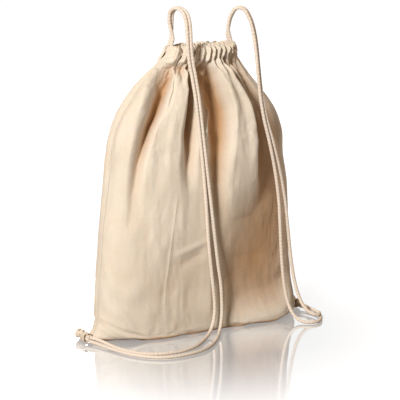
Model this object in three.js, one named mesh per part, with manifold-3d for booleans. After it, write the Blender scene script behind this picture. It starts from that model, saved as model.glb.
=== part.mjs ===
// Drawstring backpack: a cotton sack, flat size 356 x 457 mm, standing filled on its base.
// Two panels are joined at the sides and the bottom. Each panel ends in a casing, a cloth
// channel at the mouth. Two cords run through both casings, one from each side, and each
// comes back down as a doubled shoulder strap to a cloth tab at its bottom corner.
//
// Millimetres, +Z up. X runs across the bag, Y through it, and the straps hang in front of
// the -Y panel. Sizes below are in the sack's own frame, centred on its side seams; the whole
// group is then moved so that the middle of its outline stands on the origin.
import * as THREE from 'three';
import { mergeVertices } from 'three/addons/utils/BufferGeometryUtils.js';
import Module from 'manifold-3d';

const wasm = await Module();
wasm.setup();

// ---- Driving dimensions ----
const CLOTH = 1.0; // wall of a panel, a stand-in for 0.5 mm canvas
const GAP = 0.3; // between pieces that touch
const CORD_RADIUS = 2.5;
const CORD_SIDES = 8;
const CORD_STEP = 15; // three cord diameters
const RUN_STEP = 6; // shorter, for the tight turns at the ends of the casings
const PIVOT_CLEARANCE = CORD_RADIUS + 0.5; // from a strap's pivot to the cord that stays still
const FRAME_SHIFT = 7; // the left tab reaches further out than the right one

// Rings of the sack from the bottom seam up to the casings. The side seams rise first and
// the middle stays down, which makes the flat base and the two pointed corners.
// Each: height of the side seams, height of the middle, left seam, right seam, half depth.
const RINGS = [
  [0, 0, -177, 163, 0],
  [3, 0, -176, 163, 9],
  [8, 0, -173, 163, 22],
  [16, 0, -168.5, 163, 36],
  [24, 0, -165.5, 162.8, 45],
  [31, 3, -164.3, 162.4, 49.5],
  [39, 9, -163.5, 162, 51.5],
  [54, 27, -162.5, 161.5, 53.5],
  [78, 62, -160.8, 160.6, 56],
  [115, 110, -157, 159.5, 58],
  [160, 158, -153, 158.5, 58],
  [200, 200, -147, 156, 56.5],
  [240, 240, -141, 149, 54],
  [270, 270, -138, 147.5, 50.5],
  [290, 290, -133.5, 141.5, 47.5],
  [308, 308, -126, 133, 44],
  [325, 325, -114.5, 121, 39.5],
  [342, 342, -102.5, 105.5, 35],
  [358, 358, -90, 92, 30.5],
  [372, 372, -73, 80, 25.5],
  [386, 386, -42, 56, 20],
];
const SQUARE_AT_BASE = 2.8; // superellipse exponent of the ring at the base
const SQUARE_AT_TOP = 2.2;
const RING_STEPS = 28; // from side seam to side seam
const FLAT_SHARE = 0.55; // share of a ring's width that keeps the height of its middle

// The right corner is pulled forward by its strap.
const CURL = { start: 135, length: 28, height: 40, forward: 10 };

const MOUTH_X = 7; // middle of the gathered mouth
const MOUTH_HALF = 44;
const CASING = { depth: 13.4, height: 23, corner: 2.5, z: 398.1, endY: 9, bow: 4.5 };
const SEAM = { width: 8, thickness: 1.2, inset: 2.3, low: 46, high: 378 };
const TAB = { length: 13, height: 13.3, width: 12, wall: 1.2, low: 0.3 };
const THREAD_RADIUS = 0.4;
const KNOT = { core: 6.4, ring: 5.2, wrap: 2.4, tail: 15 };

const LEFT_TAB_ROOT = new THREE.Vector3(-177.4, 0, TAB.low);
const RIGHT_TAB_ROOT = new THREE.Vector3(163.4, -10, TAB.low);

// ---- Materials ----
const cottonCloth = (name, colour) => {
  const material = new THREE.MeshStandardMaterial({ color: colour, roughness: 0.92, metalness: 0 });
  material.name = name;
  return material;
};
const CANVAS = cottonCloth('natural_canvas', 0xe6d7c2);
const CANVAS_FOLDED = cottonCloth('folded_canvas', 0xdccab2);
const SEAM_CLOTH = cottonCloth('overlocked_canvas', 0xd8c6ac);
const CORD = cottonCloth('cotton_cord', 0xf1e6d3);
const THREAD = cottonCloth('cotton_thread', 0xe9dcc6);

const group = new THREE.Group();
group.position.x = FRAME_SHIFT;

function add(name, geometry, material) {
  const mesh = new THREE.Mesh(geometry, material);
  mesh.name = name;
  group.add(mesh);
  return mesh;
}

// ---- Solids from geometries ----
function weld(geometry) {
  const bare = geometry.index ? geometry.toNonIndexed() : geometry.clone();
  bare.deleteAttribute('normal');
  bare.deleteAttribute('uv');
  return mergeVertices(bare, 1e-3);
}

function toSolid(geometry) {
  const welded = weld(geometry);
  return new wasm.Manifold(new wasm.Mesh({
    numProp: 3,
    vertProperties: new Float32Array(welded.attributes.position.array),
    triVerts: new Uint32Array(welded.index.array),
  }));
}

function join(geometries) {
  const solid = geometries.map(toSolid).reduce((sum, next) => sum.add(next));
  const result = solid.getMesh();
  const joined = new THREE.BufferGeometry();
  joined.setAttribute('position', new THREE.Float32BufferAttribute(result.vertProperties, 3));
  joined.setIndex(new THREE.BufferAttribute(new Uint32Array(result.triVerts), 1));
  return joined;
}

// ---- Sack ----
// A smooth curve through one column of RINGS, at ring number t (0 to the last ring).
function ringValue(column, t) {
  const last = RINGS.length - 1;
  const i = Math.min(Math.floor(t), last - 1);
  const value = (n) => RINGS[Math.min(Math.max(n, 0), last)][column];
  return THREE.MathUtils.lerp(value(i), value(i + 1), t - i);
}

// A point of the -Y half, at ring t and angle (0 at the right seam, PI at the left seam).
function sackPoint(t, angle) {
  const [seamZ, middleZ, left, right, depth] = [0, 1, 2, 3, 4].map((c) => ringValue(c, t));
  const square = THREE.MathUtils.lerp(SQUARE_AT_BASE, SQUARE_AT_TOP, t / (RINGS.length - 1));
  const c = Math.cos(angle);
  const across = Math.sign(c) * Math.abs(c) ** (2 / square);
  const out = Math.max(Math.sin(angle), 0) ** (2 / square);
  const side = Math.max((Math.abs(across) - FLAT_SHARE) / (1 - FLAT_SHARE), 0) ** 2;
  return new THREE.Vector3(
    (left + right) / 2 + across * (right - left) / 2,
    -GAP / 2 - depth * out,
    THREE.MathUtils.lerp(middleZ, seamZ, side),
  );
}

function sackNormal(t, angle) {
  const step = 0.02;
  const last = RINGS.length - 1;
  const up = sackPoint(Math.min(t + step, last), angle).sub(sackPoint(Math.max(t - step, 0), angle));
  const round = sackPoint(t, Math.min(angle + step, Math.PI));
  round.sub(sackPoint(t, Math.max(angle - step, 0)));
  return up.cross(round).normalize();
}

function curl(point) {
  const reach = THREE.MathUtils.smoothstep(point.x, CURL.start, CURL.start + CURL.length);
  const low = 1 - THREE.MathUtils.smoothstep(point.z, 0, CURL.height);
  point.y -= CURL.forward * reach * low;
  return point;
}

// One panel: an outer and an inner skin, closed along all four edges.
function panel(front) {
  const rows = RINGS.length;
  const columns = RING_STEPS + 1;
  const points = [];
  for (const depth of [0, CLOTH]) {
    for (let row = 0; row < rows; row += 1) {
      for (let column = 0; column < columns; column += 1) {
        const angle = (column / RING_STEPS) * Math.PI;
        const point = sackPoint(row, angle);
        point.addScaledVector(sackNormal(row, angle), -depth);
        point.y = Math.min(point.y, -GAP / 2);
        point.z = THREE.MathUtils.clamp(point.z, 0, RINGS.at(-1)[0]);
        if (front) point.y *= -1;
        points.push(...curl(point).toArray());
      }
    }
  }
  const index = [];
  const at = (skin, row, column) => (skin * rows + row) * columns + column;
  const quad = (a, b, c, d) => {
    const face = front ? [a, b, c, a, c, d] : [a, c, b, a, d, c];
    index.push(...face);
  };
  for (let row = 0; row < rows - 1; row += 1) {
    for (let column = 0; column < RING_STEPS; column += 1) {
      quad(at(0, row, column), at(0, row, column + 1), at(0, row + 1, column + 1), at(0, row + 1, column));
      quad(at(1, row, column), at(1, row + 1, column), at(1, row + 1, column + 1), at(1, row, column + 1));
    }
    const end = RING_STEPS;
    quad(at(0, row, 0), at(0, row + 1, 0), at(1, row + 1, 0), at(1, row, 0));
    quad(at(0, row, end), at(1, row, end), at(1, row + 1, end), at(0, row + 1, end));
  }
  for (let column = 0; column < RING_STEPS; column += 1) {
    const top = rows - 1;
    quad(at(0, 0, column), at(1, 0, column), at(1, 0, column + 1), at(0, 0, column + 1));
    quad(at(0, top, column), at(0, top, column + 1), at(1, top, column + 1), at(1, top, column));
  }
  const geometry = new THREE.BufferGeometry();
  geometry.setAttribute('position', new THREE.Float32BufferAttribute(points, 3));
  geometry.setIndex(index);
  geometry.computeVertexNormals();
  return geometry;
}

// The raw edges of both panels, overlocked together inside the side seam.
function sideSeam(right) {
  const column = right ? 3 : 2;
  const inward = right ? -1 : 1;
  const wall = [];
  for (let t = 0; t < RINGS.length; t += 1) {
    const z = ringValue(0, t);
    if (z > SEAM.low && z < SEAM.high) wall.push([ringValue(column, t), z]);
  }
  const shape = new THREE.Shape();
  wall.forEach(([x, z], i) => {
    const start = x + inward * SEAM.inset;
    if (i === 0) shape.moveTo(start, z);
    else shape.lineTo(start, z);
  });
  wall.reverse().forEach(([x, z]) => shape.lineTo(x + inward * (SEAM.inset + SEAM.width), z));
  const geometry = new THREE.ExtrudeGeometry(shape, { depth: SEAM.thickness, bevelEnabled: false });
  geometry.translate(0, 0, -SEAM.thickness / 2);
  geometry.rotateX(Math.PI / 2);
  return geometry;
}

function bottomSeam() {
  const length = 280;
  const geometry = new THREE.BoxGeometry(length, SEAM.thickness, SEAM.width);
  geometry.translate(-10, 0, CLOTH + GAP + SEAM.width / 2);
  return geometry;
}

// ---- Casings ----
// Distance of a casing's centreline from the middle of the mouth.
function casingY(x) {
  const share = (x - MOUTH_X) / MOUTH_HALF;
  return CASING.endY + CASING.bow * (1 - Math.min(share * share, 1));
}

function mouthCurve(side, offset, z, half = MOUTH_HALF) {
  const points = [];
  const stations = 9;
  for (let i = 0; i < stations; i += 1) {
    const x = MOUTH_X + half * ((2 * i) / (stations - 1) - 1);
    points.push(new THREE.Vector3(x, side * (casingY(x) + offset), z));
  }
  return new THREE.CatmullRomCurve3(points);
}

function roundedOutline(path, width, height, corner) {
  const x = width / 2;
  const y = height / 2;
  path.moveTo(-x + corner, -y);
  path.lineTo(x - corner, -y);
  path.absarc(x - corner, -y + corner, corner, -Math.PI / 2, 0);
  path.absarc(x - corner, y - corner, corner, 0, Math.PI / 2);
  path.absarc(-x + corner, y - corner, corner, Math.PI / 2, Math.PI);
  path.absarc(-x + corner, -y + corner, corner, Math.PI, 1.5 * Math.PI);
  return path;
}

function casing(side) {
  const { depth, height, corner } = CASING;
  const shape = roundedOutline(new THREE.Shape(), height, depth, corner);
  const inside = new THREE.Path();
  roundedOutline(inside, height - 2 * CLOTH, depth - 2 * CLOTH, corner - CLOTH);
  shape.holes.push(inside);
  const extrudePath = mouthCurve(side, 0, CASING.z);
  return new THREE.ExtrudeGeometry(shape, { extrudePath, steps: 10, curveSegments: 2, bevelEnabled: false });
}

function tube(curve, radius, sides, steps) {
  const shape = new THREE.Shape();
  for (let i = 0; i < sides; i += 1) {
    const angle = ((i + 0.5) / sides) * 2 * Math.PI;
    const [x, y] = [radius * Math.cos(angle), radius * Math.sin(angle)];
    if (i === 0) shape.moveTo(x, y);
    else shape.lineTo(x, y);
  }
  return new THREE.ExtrudeGeometry(shape, { extrudePath: curve, steps, bevelEnabled: false });
}

// The row of thread that closes a casing, along its outer face near its lower edge.
function casingStitch(side) {
  const out = CASING.depth / 2 + GAP + THREAD_RADIUS;
  const z = CASING.z - CASING.height / 2 + CASING.corner + THREAD_RADIUS;
  return tube(mouthCurve(side, out, z, MOUTH_HALF - 1), THREAD_RADIUS, 6, 16);
}

// ---- Corner tabs ----
// A strip of canvas folded into a loop, standing on edge with its hole along Y.
function cornerTab(root, outward) {
  const shape = roundedOutline(new THREE.Shape(), TAB.length, TAB.height, 3);
  const hole = new THREE.Path();
  roundedOutline(hole, TAB.length - 2 * TAB.wall, TAB.height - 2 * TAB.wall, 3 - TAB.wall);
  shape.holes.push(hole);
  const options = { depth: TAB.width, bevelEnabled: false, curveSegments: 4 };
  const geometry = new THREE.ExtrudeGeometry(shape, options);
  geometry.translate(0, 0, -TAB.width / 2);
  geometry.rotateX(Math.PI / 2);
  geometry.translate(root.x + outward * TAB.length / 2, root.y, root.z + TAB.height / 2);
  return geometry;
}

// ---- Cords ----
const curveThrough = (points) => {
  const vectors = points.map(([x, y, z]) => new THREE.Vector3(x, y, z));
  return new THREE.CatmullRomCurve3(vectors, false, 'centripetal');
};

function cord(points, step = CORD_STEP) {
  const curve = curveThrough(points);
  curve.arcLengthDivisions = 1000;
  const steps = Math.ceil(curve.getLength() / step);
  return tube(curve, CORD_RADIUS, CORD_SIDES, steps);
}

// A strap strand ends in a half ball at its tab, so it can swing about that point.
function strand(points) {
  const ball = new THREE.SphereGeometry(CORD_RADIUS, 8, 6);
  ball.translate(...points.at(-1));
  return join([cord(points), ball]);
}

// Strand routes, from the pivot above the casing's end, over the arch, down in front of the
// sack, along the floor and to the pivot at the corner tab.
const LEFT_A = [
  [-41.5, -2.8, 416], [-40.4, -2.7, 419.6], [-43, -2.1, 431], [-45.4, -1.4, 444],
  [-46.4, -5.5, 457.4], [-44.6, -17.6, 463.4], [-40.6, -30.2, 458], [-38.6, -35.4, 445],
  [-37.8, -36.6, 431], [-37.4, -37.5, 412], [-35.7, -39, 390], [-32.4, -41, 369],
  [-29.4, -44.5, 342], [-27.8, -48, 316], [-27, -52, 290], [-25.8, -56, 261],
  [-23.9, -59, 228], [-22, -61.5, 191], [-18, -62.5, 132], [-12.5, -62, 87],
  [-8.2, -61.5, 54], [-7.4, -61.5, 36], [-9.8, -63, 21.5], [-16, -66.6, 10.4],
  [-26, -73.8, 4.2], [-40, -86, 2.7], [-56, -99.5, 2.7], [-76, -111.5, 2.7],
  [-100, -116.5, 2.7], [-126, -112, 2.7], [-146, -98.5, 2.7], [-158, -78.5, 2.7],
  [-165.5, -58, 3.2], [-171.5, -40, 5.5], [-177.5, -25, 8.4], [-183.1, -13.5, 9.4],
];
const LEFT_B = [
  [-41.5, 2.8, 416], [-40.4, 2.9, 419.6], [-39.4, 2.3, 431], [-40, 0.4, 444],
  [-40.8, -4.9, 457.4], [-39, -17.6, 463.4], [-35, -30.2, 458], [-33, -35.4, 445],
  [-32.2, -36.6, 431], [-31.8, -37.5, 412], [-30.1, -39, 390], [-26.8, -41, 369],
  [-23.8, -44.5, 342], [-22.2, -48, 316], [-21.4, -52, 290], [-20, -56, 261],
  [-17.5, -59, 228], [-13.8, -61.5, 191], [-9.4, -62.5, 152], [-2.8, -62.5, 103],
  [2.6, -62, 70], [4.6, -61.5, 44], [4, -62.4, 27], [0, -66, 13.5],
  [-8, -74.5, 5.2], [-22, -91, 2.7], [-38, -107.5, 2.7], [-56, -121, 2.7],
  [-75, -129.5, 2.7], [-97, -133, 2.7], [-119, -131.5, 2.7], [-138, -123.5, 2.7],
  [-153, -108.5, 2.7], [-164, -89, 2.7], [-171, -68, 2.7], [-175.5, -48, 2.9],
  [-180, -28, 3.6], [-184.9, -13.5, 4.4],
];
const RIGHT_A = [
  [55, -2.8, 416], [54, -2.6, 419.6], [51, -4.2, 431], [51.2, -8.8, 446.5],
  [56.4, -15.6, 458.4], [64.6, -22.6, 457.6], [70.9, -28.4, 444.4], [75, -32.6, 425],
  [77.4, -35.6, 402], [79.1, -37.6, 378], [80.6, -39.4, 354], [83, -41.4, 328],
  [87.3, -44.5, 299], [94.7, -47.5, 266.5], [103.6, -49, 225], [109.6, -51, 180],
  [112.3, -51.8, 135], [114.4, -53.4, 90], [117, -57.5, 50], [119, -64, 27],
  [121.4, -73, 12.5], [125, -84, 5], [131, -94, 2.8], [140, -99.5, 2.7],
  [150.5, -98, 2.7], [161.5, -88.5, 2.7], [170.6, -73, 2.8], [176, -55, 3.2],
  [175.8, -38, 3.9], [170.6, -23.5, 4.4],
];
const RIGHT_B = [
  [55, 2.8, 416], [54.2, 3, 419.6], [54.7, 0.6, 431], [55.8, -4.9, 446.5],
  [60.9, -12, 458.4], [69, -19.3, 457.6], [75.3, -25.1, 444.4], [79.4, -29.4, 425],
  [81.8, -32.4, 402], [83.5, -34.4, 378], [85.3, -36.4, 354], [88.2, -38.8, 328],
  [93.3, -42, 299], [102, -45.5, 266.5], [114.5, -45.5, 223], [124, -46, 178],
  [130.5, -45.8, 132], [135, -47.6, 89], [138.5, -51.8, 57], [141, -58.5, 36],
  [143.6, -68, 20.5], [147.8, -77.6, 11.8], [154.2, -84, 8.6], [161.6, -84, 8],
  [167, -76.5, 7.6], [168.8, -64.5, 7.3], [168.8, -50, 7.6], [168.9, -36, 8.8],
  [169.2, -23.5, 9.4],
];

// The length of a cord that is inside the casings: in along one, round the far end and back
// along the other. Its two ends turn up between the casings, just under the strap's pivot.
function casingRun(rise, channel, near, far, turn) {
  const there = [];
  const stations = 12;
  for (let i = 0; i <= stations; i += 1) {
    const x = THREE.MathUtils.lerp(near, far, i / stations);
    there.push([x, -(casingY(x) + channel), CASING.z]);
  }
  const bend = Math.sign(far - near);
  const y = CASING.endY + channel;
  const round = [
    [far + bend * turn * 0.7, -y * 0.72, CASING.z],
    [far + bend * turn, 0, CASING.z],
    [far + bend * turn * 0.7, y * 0.72, CASING.z],
  ];
  const mirrored = (points) => points.map(([x, py, z]) => [x, -py, z]).reverse();
  return [...rise, ...there, ...round, ...mirrored(there), ...mirrored(rise)];
}
const LEFT_RISE = [
  [-41.6, -2.8, 415.7], [-42.9, -3.1, 412], [-43.7, -6, 406.8], [-43, -9.8, 401.8],
];
const RIGHT_RISE = [
  [55.1, -2.8, 415.7], [56.2, -3, 412], [56.6, -4.4, 406.8], [55.6, -5.8, 401.8],
];
const CHANNEL = 2.75; // half the spacing of the two cords that share a casing
const MOUTH_LEFT = MOUTH_X - MOUTH_HALF;
const MOUTH_RIGHT = MOUTH_X + MOUTH_HALF;
const LEFT_RUN = casingRun(LEFT_RISE, CHANNEL, MOUTH_LEFT - 1.5, MOUTH_RIGHT + 6, 10);
const RIGHT_RUN = casingRun(RIGHT_RISE, -CHANNEL, MOUTH_RIGHT + 0.5, MOUTH_LEFT - 3, 5.5);

// An overhand knot on the far side of a tab, with both cord ends through the loop.
function knot(upper, lower, centre, tails) {
  const pieces = [];
  const core = new THREE.SphereGeometry(KNOT.core, 12, 8);
  core.scale(1.1, 0.85, 1);
  pieces.push(core.translate(...centre));
  for (const [tiltX, tiltZ] of [[1.1, 0.4], [-0.5, -0.7]]) {
    const wrap = new THREE.TorusGeometry(KNOT.ring, KNOT.wrap, 8, 14);
    wrap.rotateX(tiltX);
    wrap.rotateZ(tiltZ);
    pieces.push(wrap.translate(...centre));
  }
  for (const start of [upper, lower]) {
    const past = [start[0], start[1] + 15, start[2]];
    pieces.push(cord([start, past, centre], 5));
  }
  for (const direction of tails) {
    const reach = new THREE.Vector3(...direction).setLength(KNOT.tail);
    const end = new THREE.Vector3(...centre).add(reach);
    pieces.push(cord([centre, end.toArray()], 7));
  }
  return join(pieces);
}
const behind = ([x, y, z]) => [x, y + PIVOT_CLEARANCE, z];

// ---- Assembly ----
add('back_panel', panel(false), CANVAS);
add('front_panel', panel(true), CANVAS);
add('back_casing', casing(-1), CANVAS_FOLDED);
add('front_casing', casing(1), CANVAS_FOLDED);
add('back_casing_stitch', casingStitch(-1), THREAD);
add('front_casing_stitch', casingStitch(1), THREAD);
add('left_side_seam', sideSeam(false), SEAM_CLOTH);
add('right_side_seam', sideSeam(true), SEAM_CLOTH);
add('bottom_seam', bottomSeam(), SEAM_CLOTH);
add('left_corner_tab', cornerTab(LEFT_TAB_ROOT, -1), CANVAS_FOLDED);
add('right_corner_tab', cornerTab(RIGHT_TAB_ROOT, 1), CANVAS_FOLDED);
add('left_cord_run', cord(LEFT_RUN, RUN_STEP), CORD);
add('right_cord_run', cord(RIGHT_RUN, RUN_STEP), CORD);
add('left_strand_a', strand(LEFT_A), CORD);
add('left_strand_b', strand(LEFT_B), CORD);
add('right_strand_a', strand(RIGHT_A), CORD);
add('right_strand_b', strand(RIGHT_B), CORD);
const leftKnot = knot(behind(LEFT_A.at(-1)), behind(LEFT_B.at(-1)), [-184, 15, 8.6], [
  [-0.3, 1, 0.25], [0.75, 1, -0.35],
]);
const rightKnot = knot(behind(RIGHT_B.at(-1)), behind(RIGHT_A.at(-1)), [173, 5.5, 8.6], [
  [0.4, 1, 0.25], [1, 0.5, -0.35],
]);
add('left_knot', leftKnot, CORD);
add('right_knot', rightKnot, CORD);

export default group;
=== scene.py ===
"""Looks of the drawstring backpack: gathered canvas sack, braided cord straps, corner tabs.

Lengths in the tables are millimetres in the sack's own frame, whose X is 7 mm left of the
record's frame. Everything that reaches Blender is in metres in the record's frame.
"""
import math

import bmesh
import bpy
import numpy as np
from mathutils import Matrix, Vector
from mathutils.kdtree import KDTree


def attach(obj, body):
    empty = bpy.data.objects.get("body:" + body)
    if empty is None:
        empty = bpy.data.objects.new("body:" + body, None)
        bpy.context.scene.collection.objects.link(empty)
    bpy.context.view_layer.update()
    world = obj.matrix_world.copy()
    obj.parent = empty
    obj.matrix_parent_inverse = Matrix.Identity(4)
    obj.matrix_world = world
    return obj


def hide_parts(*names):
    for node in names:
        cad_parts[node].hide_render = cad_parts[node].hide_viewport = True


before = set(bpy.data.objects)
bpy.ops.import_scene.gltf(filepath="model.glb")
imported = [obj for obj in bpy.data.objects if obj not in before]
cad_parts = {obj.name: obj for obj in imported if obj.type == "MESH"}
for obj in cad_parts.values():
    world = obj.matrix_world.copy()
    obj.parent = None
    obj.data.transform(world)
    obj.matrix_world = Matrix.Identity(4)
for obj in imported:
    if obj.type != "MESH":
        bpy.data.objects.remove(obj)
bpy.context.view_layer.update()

SHIFT = 7.0  # mm, from the sack's frame to the record's, along X
RNG_SEED = 11
FULL_TURN = 2 * math.pi


# ---------------- small helpers
def link(obj):
    bpy.context.scene.collection.objects.link(obj)
    return obj


def aimed(name, data, at, to):
    """An object of the camera or light data at one point, looking at another."""
    obj = link(bpy.data.objects.new(name, data))
    obj.location = at
    obj.rotation_euler = (Vector(to) - Vector(at)).to_track_quat("-Z", "Y").to_euler()
    return obj


def smooth(x, low, high):
    """0 below low, 1 above high, an S between them."""
    t = np.clip((np.asarray(x, float) - low) / (high - low), 0, 1)
    return t * t * (3 - 2 * t)


def window(x, rise, full, fade, end):
    """Rises from rise to full, falls from fade to end."""
    return smooth(x, rise, full) * (1 - smooth(x, fade, end))


def bell(x, centre, width):
    return np.exp(-(((x - centre) / width) ** 2))


def signed_power(x, power):
    return np.sign(x) * np.abs(x) ** power


def lengths(line):
    """Length along a line up to each of its points."""
    return np.concatenate([[0], np.cumsum(np.linalg.norm(np.diff(line, axis=0), axis=1))])


def sample(at, s, values):
    """Rows of values, known at lengths s, read at other lengths."""
    return np.stack([np.interp(at, s, values[:, k]) for k in range(3)], 1)


def unit(vectors):
    return vectors / np.maximum(np.linalg.norm(vectors, axis=-1), 1e-9)[..., None]


def to_metres(points):
    out = np.array(points, float)
    out[..., 0] += SHIFT
    return out * 0.001


def make_object(name, points, quads, material, uv=None, triangles=None, values=None):
    """A smooth object of points in mm in the sack's frame. values: a point attribute's name and numbers."""
    loops = np.asarray(quads, np.int32).ravel()
    starts = np.arange(len(quads), dtype=np.int32) * 4
    if triangles is not None:
        starts = np.concatenate([starts, len(loops) + np.arange(len(triangles), dtype=np.int32) * 3])
        loops = np.concatenate([loops, np.asarray(triangles, np.int32).ravel()])
    mesh = bpy.data.meshes.new(name)
    mesh.vertices.add(len(points))
    mesh.vertices.foreach_set("co", to_metres(points).astype(np.float32).ravel())
    mesh.loops.add(len(loops))
    mesh.loops.foreach_set("vertex_index", loops)
    mesh.polygons.add(len(starts))
    mesh.polygons.foreach_set("loop_start", starts.astype(np.int32))
    mesh.update(calc_edges=True)
    mesh.validate()
    if uv is not None:
        layer = mesh.uv_layers.new(name="cloth")
        layer.data.foreach_set("uv", np.asarray(uv, np.float32)[loops].ravel())
    mesh.polygons.foreach_set("use_smooth", np.ones(len(starts), bool))
    if values is not None:
        attribute = mesh.attributes.new(values[0], "FLOAT", "POINT")
        attribute.data.foreach_set("value", values[1].astype(np.float32))
    mesh.materials.append(material)
    return link(bpy.data.objects.new(name, mesh))


def grid_faces(rows, columns, offset=0, wrap=False):
    r, c = np.meshgrid(np.arange(rows - 1), np.arange(columns if wrap else columns - 1), indexing="ij")
    a = r * columns + c
    b = r * columns + (c + 1) % columns
    return (np.stack([a, b, b + columns, a + columns], -1) + offset).reshape(-1, 4)


def between(t, a, b, start, stop):
    """Straight from a at start to b at stop."""
    return (stop - t) / (stop - start) * a + (t - start) / (stop - start) * b


def catmull(points, per_mm):
    """Centripetal Catmull-Rom curve through the points, resampled evenly, and its length."""
    p = np.array(points, float)
    p = np.vstack([2 * p[0] - p[1], p, 2 * p[-1] - p[-2]])
    out = []
    for a, b, c, d in zip(p, p[1:], p[2:], p[3:]):
        knots = [0.0]
        for start, stop in ((a, b), (b, c), (c, d)):
            knots.append(knots[-1] + max(np.linalg.norm(stop - start), 1e-6) ** 0.5)
        t0, t1, t2, t3 = knots
        t = np.linspace(t1, t2, 30, endpoint=False)[:, None]
        ab, bc, cd = between(t, a, b, t0, t1), between(t, b, c, t1, t2), between(t, c, d, t2, t3)
        out.append(between(t, between(t, ab, bc, t0, t2), between(t, bc, cd, t1, t3), t1, t2))
    line = np.vstack(out + [p[-2][None]])
    s = lengths(line)
    even = np.linspace(0, s[-1], max(int(round(s[-1] * per_mm)), 4) + 1)
    return sample(even, s, line), s[-1]


def frames(line):
    """Tangent and two side directions along a line, without twist."""
    t = np.gradient(line, axis=0)
    t /= np.linalg.norm(t, axis=1)[:, None]
    n = np.zeros_like(t)
    start = np.cross(t[0], [0.3, 1.0, 0.2])
    n[0] = start / np.linalg.norm(start)
    for i in range(1, len(t)):
        v = n[i - 1] - t[i] * np.dot(n[i - 1], t[i])
        n[i] = v / np.linalg.norm(v)
    return t, n, np.cross(t, n)


# ---------------- camera
CAMERA_AT = (-1.14075, -1.84650, 0.64571)
CAMERA_TO = (0.01307, 0.0, 0.18290)
camera_data = bpy.data.cameras.new("camera")
camera_data.lens = 138.24
camera_data.sensor_width = 36.0
camera_data.clip_start = 0.1
camera_data.clip_end = 30.0
bpy.context.scene.camera = aimed("camera", camera_data, CAMERA_AT, CAMERA_TO)


# ---------------- materials
class Graph:
    """Node tree of a material or world, with one short call per kind of node."""

    def __init__(self, owner):
        owner.use_nodes = True
        self.tree = owner.node_tree
        self.tree.nodes.clear()

    def feed(self, socket, value):
        """Links an output to a socket, or writes a value into it. A colour gets its alpha."""
        if isinstance(value, bpy.types.NodeSocket):
            self.tree.links.new(value, socket)
        elif isinstance(value, tuple) and len(value) == 3 and socket.type == "RGBA":
            socket.default_value = (*value, 1)
        else:
            socket.default_value = value

    def add(self, kind, inputs=None, **settings):
        """A node with its settings, then its inputs by name or number."""
        node = self.tree.nodes.new("ShaderNode" + kind)
        for key, value in settings.items():
            setattr(node, key, value)
        for key, value in (inputs or {}).items():
            self.feed(node.inputs[key], value)
        return node

    def noise(self, vector, scale, detail, roughness=0.5):
        inputs = {"Scale": scale, "Detail": detail, "Roughness": roughness, "Vector": vector}
        return self.add("TexNoise", inputs).outputs["Fac"]

    def ramp(self, value, low, high, dark, light):
        """Colour from dark at low to light at high."""
        node = self.add("ValToRGB", {0: value})
        for element, position, colour in zip(node.color_ramp.elements, (low, high), (dark, light)):
            element.position = position
            element.color = (*colour, 1)
        return node.outputs[0]

    def mix(self, kind, factor, first, second):
        inputs = {0: factor, 6: first, 7: second}
        return self.add("Mix", inputs, data_type="RGBA", blend_type=kind).outputs[2]

    def math(self, operation, first, second):
        return self.add("Math", {0: first, 1: second}, operation=operation).outputs[0]

    def bump(self, height, strength, distance, under=None):
        node = self.add("Bump", {"Strength": strength, "Distance": distance, "Height": height})
        if under:
            self.feed(node.inputs["Normal"], under)
        return node.outputs[0]

    def attribute(self, name):
        return self.add("Attribute", attribute_name=name).outputs["Fac"]


def fibre_shader(graph, rough, specular, sheen, sheen_rough, sheen_tint, soft, soft_radius, soft_scale):
    """Principled shader of cotton: little shine, a sheen of loose fibres and some light inside."""
    shader = graph.add("BsdfPrincipled", {
        "Roughness": rough, "Specular IOR Level": specular,
        "Sheen Weight": sheen, "Sheen Roughness": sheen_rough, "Sheen Tint": sheen_tint,
        "Subsurface Weight": soft, "Subsurface Radius": soft_radius, "Subsurface Scale": soft_scale,
    })
    graph.add("OutputMaterial", {0: shader.outputs[0]})
    return shader


PAINTED_SHADE_TINT = (0.66, 0.43, 0.235)  # painted shade: multiplies the colour deep in a fold, where the cloth lies in shadow
NO_TINT = (1, 1, 1)
BAND_SCALE = 100.0  # of a bands texture that repeats every pi mm


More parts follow.
